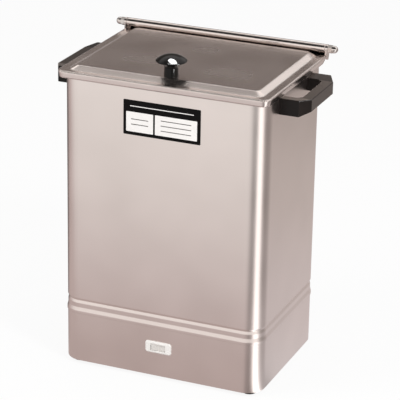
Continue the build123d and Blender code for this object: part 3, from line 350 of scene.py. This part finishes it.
def rule(name, place, y_back, material, slot):
    """A thin level line."""
    x, z, width = place
    front_slab(name, (x, z), (width, RULE_H), RULE_R, y_back, RULE_T, material)


def front_plate():
    plate_y = WALL_Y - PLATE_T
    field_y = plate_y - FIELD_T
    white = (FIELD_WHITE, "white_moulding")
    panel("front_plate", PLATE_X, PLATE_Z, PLATE_R, WALL_Y, PLATE_T, ENAMEL, "black_phenolic")
    for count, span in enumerate(FIELDS_X, 1):
        panel(f"plate_field_{count}", span, FIELD_Z, FIELD_R, plate_y, FIELD_T, *white)
    rule("plate_rule_top", TOP_RULE, plate_y, *white)
    for count, places in enumerate((LEFT_RULES, RIGHT_RULES), 1):
        for row, place in enumerate(places, 1):
            rule(f"plate_rule_{count}_{row}", place, field_y, RULE_GREY, "black_phenolic")


front_plate()


# ---------------------------------------------------------------- what the steel shows
# Polished steel shows the room, so the floor and the world have a second look that only it sees.
# The floor is paper whose light, as the steel shows it, is dim close to the heater, which is painted shade
# for the heater's shadow on the floor. That light grows to the front and fades to the right, with darker
# stretches and a bright stripe to the front right.
# To the front the room is bright above the horizon and dark overhead. Behind, it is dark above the horizon,
# with a bright window higher up.
CORNER = Vector((116.5 * MM, -81.0 * MM, 0))  # centre of the front right corner's rounding
REACH = 1.4  # the paper's looks end this far from the corner
DARK = (0.02, 0.02, 0.02)

# Metres from the corner, and the floor's light there; the front's dim light near the corner is painted
# shade of the heater
FLOOR_LIGHT_FRONT = (
    (0.0, (0.50, 0.42, 0.41)),
    (0.15, (0.50, 0.42, 0.41)),
    (0.36, (0.60, 0.53, 0.53)),
    (0.6, (0.74, 0.70, 0.69)),
    (0.95, (0.86, 0.84, 0.83)),
    (REACH, (0.90, 0.89, 0.88)),
)
FLOOR_LIGHT_SIDE = (
    (0.0, (0.72, 0.68, 0.69)),
    (0.3, (0.68, 0.62, 0.62)),
    (0.8, (0.60, 0.54, 0.52)),
    (REACH, (0.45, 0.40, 0.38)),
)

# Degrees round the corner from the front towards +X, and a factor on the floor's light:
# the first table for the floor near the heater, the second for the rest
ROUND = (-180, 180)
AROUND_NEAR = (
    (-180, 1.0),
    (-152, 0.8),
    (-138, 0.25),
    (-97, 0.2),
    (-91, 1.0),
    (0, 1.0),
    (19, 0.6),
    (31, 0.5),
    (40, 0.8),
    (48, (1.55, 1.75, 1.75)),
    (78, (1.55, 1.75, 1.75)),
    (88, 1.15),
    (100, 0.7),
    (125, 0.66),
    (152, 0.94),
    (180, 1.0),
)
AROUND_FAR = (
    (-180, 1.0),
    (-152, 0.8),
    (-138, 0.3),
    (-106, 0.3),
    (-99, 1.0),
    (-86, 1.05),
    (-68, 1.0),
    (0, 1.0),
    (9, 0.9),
    (19, 0.5),
    (31, 0.36),
    (42, 0.5),
    (50, 1.0),
    (58, 1.1),
    (73, 1.1),
    (80, 0.8),
    (88, 0.6),
    (101, 0.5),
    (125, 0.62),
    (152, 0.94),
    (180, 1.0),
)
# Degrees round the corner, and the light that the stripe adds
STRIPE = (
    (-180, 0.0),
    (45, 0.0),
    (52, 0.8),
    (75, 0.8),
    (83, 0.0),
    (180, 0.0),
)
NEAR_TO_FAR = (0.16, 0.42)  # metres from the corner
FRONT_TO_SIDE = (40.0, 95.0)  # degrees round the corner
ROUND_TO_AHEAD = (0.0, -20.0)  # left of this the paper lightens straight ahead, not round the corner
AHEAD_PACE = 1.08  # and by this much sooner

# Degrees above the horizon, and the room's colour there
UP = (-10, 90)
ROOM_FRONT = (
    (-10, (0.85, 0.80, 0.78)),
    (4, (0.95, 0.91, 0.89)),
    (12, (1.02, 0.98, 0.96)),
    (26, (1.02, 0.98, 0.96)),
    (33, DARK),
    (90, DARK),
)
ROOM_BEHIND_LEFT = (
    (-10, (0.70, 0.67, 0.66)),
    (2, (0.52, 0.49, 0.48)),
    (8, (0.16, 0.135, 0.125)),
    (32, (0.16, 0.135, 0.125)),
    (41, (1.18, 1.15, 1.13)),
    (55, (1.18, 1.15, 1.13)),
    (64, (0.45, 0.43, 0.42)),
    (90, (0.45, 0.43, 0.42)),
)
ROOM_BEHIND_RIGHT = (
    (-10, (0.50, 0.47, 0.46)),
    (0, (0.32, 0.29, 0.28)),
    (15, (0.30, 0.27, 0.26)),
    (23, (1.02, 0.99, 0.975)),
    (60, (1.02, 0.99, 0.975)),
    (90, (0.50, 0.48, 0.47)),
)
LEFT_TO_RIGHT = (-0.1, 0.05)  # the direction's X where one half of the room behind meets the other
FRONT_TO_BEHIND = (-0.2, 0.2)  # the direction's Y where the front meets what is behind

HALF = 0.5  # a ramp holds no colour over 1, so all of them are halved, and the glow makes up for it
WHITE = (1.0, 1.0, 1.0, 1.0)
ROOM_LIGHT = (0.66, 0.655, 0.65, 1.0)  # the world's plain light on everything
FLOOR_SIZE = 14.0
FLOOR_DROP = 0.2 * MM  # clear of the feet
FLOOR_COLOUR = (0.9, 0.9, 0.9, 1.0)
FLOOR_WHITE = 0.9  # share of plain white in what the camera sees, and the rest keeps the shadow


class Room:
    """Node calls that the floor and the world share."""

    def __init__(self, tree):
        self.tree = tree
        tree.nodes.clear()

    def new(self, kind, *sources, **values):
        """A node with its first inputs linked, and its settings made."""
        node = self.tree.nodes.new(kind)
        for key, value in values.items():
            setattr(node, key, value)
        for socket, source in zip(node.inputs, sources):
            if source is not None:
                self.tree.links.new(source, socket)
        return node

    def math(self, operation, *sources):
        """One step of arithmetic on the sources, each a number or a value."""
        node = self.new("ShaderNodeMath", operation=operation)
        for socket, source in zip(node.inputs, sources):
            if isinstance(source, (int, float)):
                socket.default_value = source
            else:
                self.tree.links.new(source, socket)
        return node.outputs[0]

    def ramp(self, value, span, table):
        """A halved colour by position; each entry is a place in the span with a grey or a colour."""
        low, high = span
        share = self.math("DIVIDE", self.math("SUBTRACT", value, float(low)), float(high - low))
        node = self.new("ShaderNodeValToRGB", share)
        band = node.color_ramp
        band.interpolation = "EASE"
        for i, (at, level) in enumerate(table):
            position = (at - low) / (high - low)
            element = band.elements.new(position) if i > 1 else band.elements[i]
            element.position = position
            colour = (level, level, level) if isinstance(level, float) else level
            element.color = (*(part * HALF for part in colour), 1.0)
        return node.outputs["Color"]

    def mix(self, factor, first, second, **values):
        """Two colours mixed by a number or a value."""
        node = self.new("ShaderNodeMix", data_type="RGBA", **values)
        for name, source in (("Factor", factor), ("A", first), ("B", second)):
            if isinstance(source, float):
                node.inputs[name].default_value = source
            else:
                self.tree.links.new(source, node.inputs[name])
        return node.outputs["Result"]

    def shift(self, value, span):
        """0 up to the span's first end, 1 from its other end on."""
        node = self.new("ShaderNodeMapRange", value)
        node.inputs["From Min"].default_value, node.inputs["From Max"].default_value = span
        return node.outputs["Result"]

    def choose(self, factor, first, second):
        return self.new("ShaderNodeMixShader", factor, first, second).outputs[0]

    def glow(self, kind, colour, strength):
        """A light of a plain colour or of a linked one."""
        node = self.new(kind)
        node.inputs["Strength"].default_value = strength
        if isinstance(colour, tuple):
            node.inputs["Color"].default_value = colour
        else:
            self.tree.links.new(colour, node.inputs["Color"])
        return node.outputs[0]

    def degrees_round(self, x, y):
        """Degrees from -Y towards +X."""
        return self.math("MULTIPLY", self.math("ARCTAN2", x, self.math("MULTIPLY", y, -1)), 180 / math.pi)


def floor_light_in_steel(room):
    """The floor's light as the steel shows it, at a quarter of its full strength, with painted shade near
    the heater.
    """
    place = room.new("ShaderNodeVectorMath", room.new("ShaderNodeNewGeometry").outputs["Position"])
    place.operation = "SUBTRACT"
    place.inputs[1].default_value = CORNER
    split = room.new("ShaderNodeSeparateXYZ", place.outputs[0])
    x, y = split.outputs["X"], split.outputs["Y"]
    far = room.math("SQRT", room.math("ADD", room.math("MULTIPLY", x, x), room.math("MULTIPLY", y, y)))
    turn = room.degrees_round(x, y)
    left = room.shift(turn, ROUND_TO_AHEAD)
    by_ahead = room.math("MULTIPLY", left, room.math("MULTIPLY", y, -AHEAD_PACE))
    by_far = room.math("MULTIPLY", room.math("SUBTRACT", 1.0, left), far)
    # The front's light is dim close to the heater: painted shade for the heater's shadow on the floor.
    front = room.ramp(room.math("ADD", by_ahead, by_far), (0, REACH), FLOOR_LIGHT_FRONT)
    side = room.ramp(far, (0, REACH), FLOOR_LIGHT_SIDE)
    colour = room.mix(room.shift(turn, FRONT_TO_SIDE), front, side)
    near_factor = room.ramp(turn, ROUND, AROUND_NEAR)
    far_factor = room.ramp(turn, ROUND, AROUND_FAR)
    factor = room.mix(room.shift(far, NEAR_TO_FAR), near_factor, far_factor)
    shaded = room.mix(1.0, colour, factor, blend_type="MULTIPLY")
    return room.mix(HALF, shaded, room.ramp(turn, ROUND, STRIPE), blend_type="ADD")


def studio_floor():
    """A pale matt floor, which the camera sees as white with the heater's shadow."""
    bpy.ops.mesh.primitive_plane_add(size=FLOOR_SIZE, location=(0, 0, -FLOOR_DROP))
    floor = bpy.context.object
    floor.name = "studio_floor"
    material = bpy.data.materials.new("Studio floor")
    material.use_nodes = True
    room = Room(material.node_tree)
    in_steel = room.glow("ShaderNodeEmission", floor_light_in_steel(room), 1 / HALF**2)
    matt = room.new("ShaderNodeBsdfDiffuse")
    matt.inputs["Color"].default_value = FLOOR_COLOUR
    lift = room.glow("ShaderNodeEmission", WHITE, 1.0)
    seen = room.new("ShaderNodeMixShader", None, matt.outputs[0], lift)
    seen.inputs[0].default_value = FLOOR_WHITE
    path = room.new("ShaderNodeLightPath")
    surface = room.choose(path.outputs["Is Glossy Ray"], matt.outputs[0], in_steel)
    surface = room.choose(path.outputs["Is Camera Ray"], surface, seen.outputs[0])
    room.new("ShaderNodeOutputMaterial", surface)
    floor.data.materials.append(material)


def studio_room():
    """The world: white to the camera, the room to the steel, and an even light for the rest."""
    world = bpy.data.worlds.new("Studio")
    bpy.context.scene.world = world
    world.use_nodes = True
    room = Room(world.node_tree)
    split = room.new("ShaderNodeSeparateXYZ", room.new("ShaderNodeTexCoord").outputs["Generated"])
    height = room.math("MULTIPLY", room.math("ARCSINE", split.outputs["Z"]), 180 / math.pi)
    front = room.ramp(height, UP, ROOM_FRONT)
    behind_left = room.ramp(height, UP, ROOM_BEHIND_LEFT)
    behind_right = room.ramp(height, UP, ROOM_BEHIND_RIGHT)
    behind = room.mix(room.shift(split.outputs["X"], LEFT_TO_RIGHT), behind_left, behind_right)
    all_round = room.mix(room.shift(split.outputs["Y"], FRONT_TO_BEHIND), front, behind)
    in_steel = room.glow("ShaderNodeBackground", all_round, 1 / HALF)
    plain = room.glow("ShaderNodeBackground", ROOM_LIGHT, 1.0)
    white = room.glow("ShaderNodeBackground", WHITE, 1.0)
    path = room.new("ShaderNodeLightPath")
    surface = room.choose(path.outputs["Is Glossy Ray"], plain, in_steel)
    surface = room.choose(path.outputs["Is Camera Ray"], surface, white)
    room.new("ShaderNodeOutputWorld", surface)


studio_floor()
studio_room()


# ---------------------------------------------------------------- lamps
# Two soft lamps light everything, and their own shapes don't show in the steel. Small ones for the
# knob and the right handle light and show on that piece alone.
AIM = Vector((0, 0, 0.22))
# Name, degrees round from the front towards +X, degrees up, metres away, size in metres and watts
LAMPS = (
    ("key", 58, 42, 1.9, (0.35, 0.5), 14.0),
    ("fill_left", -50, 35, 2.2, (1.2, 1.2), 14.0),
)
# The same, and the one node that it lights
PIECE_LAMPS = (
    ("knob_top", 150, 86, 1.4, (0.9, 0.55), 95.0, "lid_knob"),
    ("knob_side", 66, -1, 0.62, (0.2, 0.6), 18.0, "lid_knob"),
    ("handle_side", 100, 30, 1.6, (0.6, 0.6), 30.0, "handle_right"),
)


def softbox(name, azimuth, elevation, distance, size, power, only=None):
    """An oval lamp aimed at the heater; with a node's name it lights, and shows on, that node only."""
    back = direction(math.radians(azimuth), math.radians(elevation))
    lamp = bpy.data.lights.new(name, "AREA")
    lamp.shape = "ELLIPSE"
    lamp.size, lamp.size_y = size
    lamp.energy = power
    light = bpy.data.objects.new(name, lamp)
    light.location = AIM + back * distance
    light.rotation_mode = "QUATERNION"
    light.rotation_quaternion = (-back).to_track_quat("-Z", "Y")
    light.visible_glossy = only is not None
    if only is not None:
        lit = bpy.data.collections.new(f"lit_by_{name}")
        lit.objects.link(nodes[only])
        light.light_linking.receiver_collection = lit
        light.light_linking.blocker_collection = lit
    bpy.context.scene.collection.objects.link(light)


for lamp_facts in LAMPS + PIECE_LAMPS:
    softbox(*lamp_facts)


# ---------------------------------------------------------------- camera
IMAGE = 400.0  # pixels across and down
FOCAL = 2089.57  # in pixels
YAW, PITCH, ROLL = (math.radians(angle) for angle in (22.52, 21.12, 1.05))
DISTANCE = 2.78652
SHIFT_X, SHIFT_Y = -8.12, -9.34  # pixels
TARGET = Vector((0, 0, 0.205))
SENSOR = 36.0
SEES_TO = 50.0


def photo_camera():
    """A camera at the photograph's viewing angle, with its target moved off the middle by the shift."""
    back = direction(YAW, PITCH)
    level = Vector((math.cos(YAW), math.sin(YAW), 0))
    rise = back.cross(level)
    right = math.cos(ROLL) * level + math.sin(ROLL) * rise
    up = -math.sin(ROLL) * level + math.cos(ROLL) * rise
    camera = bpy.data.objects.new("camera", bpy.data.cameras.new("camera"))
    camera.data.sensor_width = SENSOR
    camera.data.lens = FOCAL * SENSOR / IMAGE
    camera.data.clip_end = SEES_TO
    pixel = DISTANCE / FOCAL
    place = TARGET + DISTANCE * back - SHIFT_X * pixel * right - SHIFT_Y * pixel * up
    turn = Matrix((right, up, back)).transposed().to_4x4()
    camera.matrix_world = Matrix.Translation(place) @ turn
    bpy.context.scene.collection.objects.link(camera)
    bpy.context.scene.camera = camera


photo_camera()
bpy.context.scene.view_settings.view_transform = "Standard"
